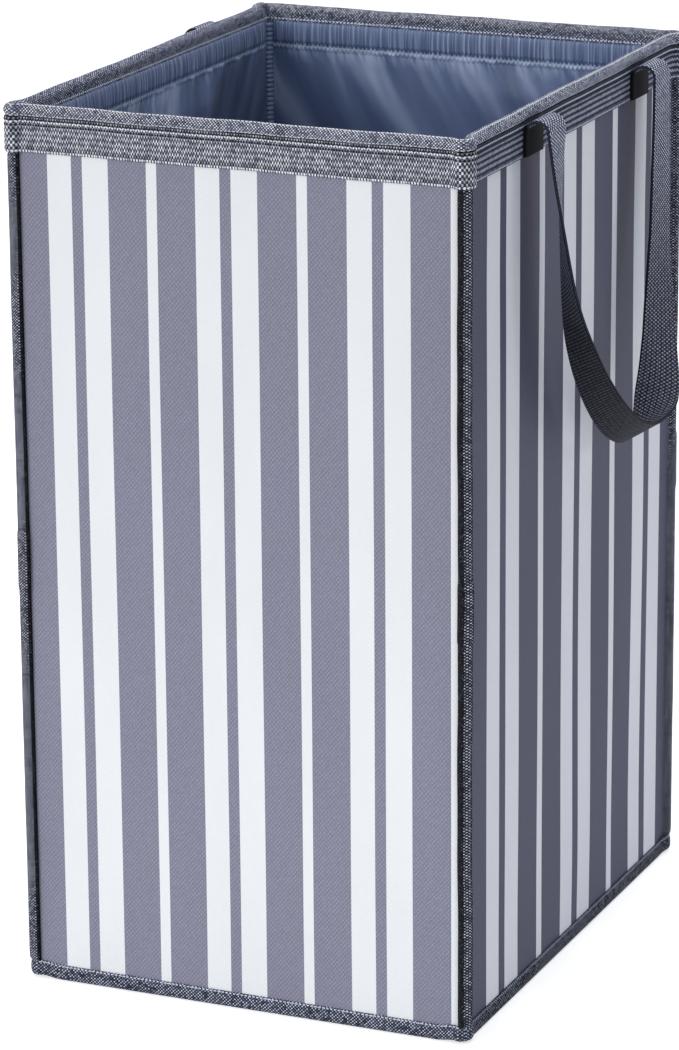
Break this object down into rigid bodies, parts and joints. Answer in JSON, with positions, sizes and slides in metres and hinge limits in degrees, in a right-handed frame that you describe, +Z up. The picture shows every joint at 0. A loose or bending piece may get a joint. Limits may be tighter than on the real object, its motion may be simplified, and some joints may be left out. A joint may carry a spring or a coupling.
{
  "type": "pop up laundry hamper",
  "caption": "Tall rectangular cloth laundry hamper with sprung wire-framed walls that fold flat, a satin lining and webbing carrying handles.",
  "frame": {"origin": "on the floor under the middle of the hamper's plan", "axes": "+Z up; the front wall faces -Y; the handle walls face +X and -X"},
  "size_m": [0.441, 0.4304, 0.64],
  "materials": {
    "striped_cloth": "grey and white striped polyester twill",
    "satin_lining": "slate blue satin",
    "spring_wire": "tempered spring steel",
    "band_webbing": "ribbed heather webbing",
    "rim_binding": "dense twill binding",
    "edge_binding": "charcoal twill tape with light specks",
    "handle_webbing": "dark ribbed webbing",
    "handle_tab": "black webbing",
    "base_cloth": "plain polyester cloth"
  },
  "bodies": {
    "front_wall": {"front_panel": "striped_cloth", "front_lining": "satin_lining", "front_wire": "spring_wire", "front_band": "band_webbing", "front_rim": "rim_binding", "front_hem": "edge_binding", "base_panel": "base_cloth"},
    "right_wall": {"right_panel": "striped_cloth", "right_lining": "satin_lining", "right_wire": "spring_wire", "right_band": "band_webbing", "right_rim": "rim_binding", "right_hem": "edge_binding", "right_handle_tab_a": "handle_tab", "right_handle_tab_b": "handle_tab"},
    "back_wall": {"back_panel": "striped_cloth", "back_lining": "satin_lining", "back_wire": "spring_wire", "back_band": "band_webbing", "back_rim": "rim_binding", "back_hem": "edge_binding"},
    "left_wall": {"left_panel": "striped_cloth", "left_lining": "satin_lining", "left_wire": "spring_wire", "left_band": "band_webbing", "left_rim": "rim_binding", "left_hem": "edge_binding", "left_handle_tab_a": "handle_tab", "left_handle_tab_b": "handle_tab"},
    "front_right_corner": {"corner_binding_front_right": "edge_binding"},
    "back_right_corner": {"corner_binding_back_right": "edge_binding"},
    "back_left_corner": {"corner_binding_back_left": "edge_binding"},
    "front_left_corner": {"corner_binding_front_left": "edge_binding"},
    "right_carry_handle": {"right_handle": "handle_webbing"},
    "left_carry_handle": {"left_handle": "handle_webbing"}
  },
  "joints": [
    {"name": "fold", "type": "hinge", "parent": "front_wall", "child": "right_wall", "pos_m": [0.1602, -0.2037, 0], "axis": [0, 0, -1], "range_deg": [0, 86], "deforming": ["base_panel"]},
    {"name": "left_wall_fold", "type": "hinge", "parent": "front_wall", "child": "left_wall", "pos_m": [-0.1602, -0.2037, 0], "axis": [0, 0, -1], "range_deg": [0, 86]},
    {"name": "back_wall_fold", "type": "hinge", "parent": "right_wall", "child": "back_wall", "pos_m": [0.1602, 0.2037, 0], "axis": [0, 0, 1], "range_deg": [0, 86]},
    {"name": "front_right_seam", "type": "hinge", "parent": "front_wall", "child": "front_right_corner", "pos_m": [0.1602, -0.2037, 0], "axis": [0, 0, -1], "range_deg": [0, 43]},
    {"name": "front_left_seam", "type": "hinge", "parent": "front_wall", "child": "front_left_corner", "pos_m": [-0.1602, -0.2037, 0], "axis": [0, 0, -1], "range_deg": [0, 43]},
    {"name": "back_right_seam", "type": "hinge", "parent": "right_wall", "child": "back_right_corner", "pos_m": [0.1602, 0.2037, 0], "axis": [0, 0, 1], "range_deg": [0, 43]},
    {"name": "back_left_seam", "type": "hinge", "parent": "left_wall", "child": "back_left_corner", "pos_m": [-0.1602, 0.2037, 0], "axis": [0, 0, 1], "range_deg": [0, 43]},
    {"name": "right_handle_swing", "type": "hinge", "parent": "right_wall", "child": "right_carry_handle", "pos_m": [0.1791, 0, 0.62396], "axis": [0, -1, 0], "range_deg": [0, 170]},
    {"name": "left_handle_swing", "type": "hinge", "parent": "left_wall", "child": "left_carry_handle", "pos_m": [-0.1791, 0, 0.62396], "axis": [0, 1, 0], "range_deg": [0, 170]}
  ],
  "couplings": [
    {"joint": "left_wall_fold", "follows": "fold", "ratio": 1},
    {"joint": "back_wall_fold", "follows": "fold", "ratio": 1},
    {"joint": "front_right_seam", "follows": "fold", "ratio": 0.5},
    {"joint": "front_left_seam", "follows": "fold", "ratio": 0.5},
    {"joint": "back_right_seam", "follows": "fold", "ratio": 0.5},
    {"joint": "back_left_seam", "follows": "fold", "ratio": 0.5}
  ]
}
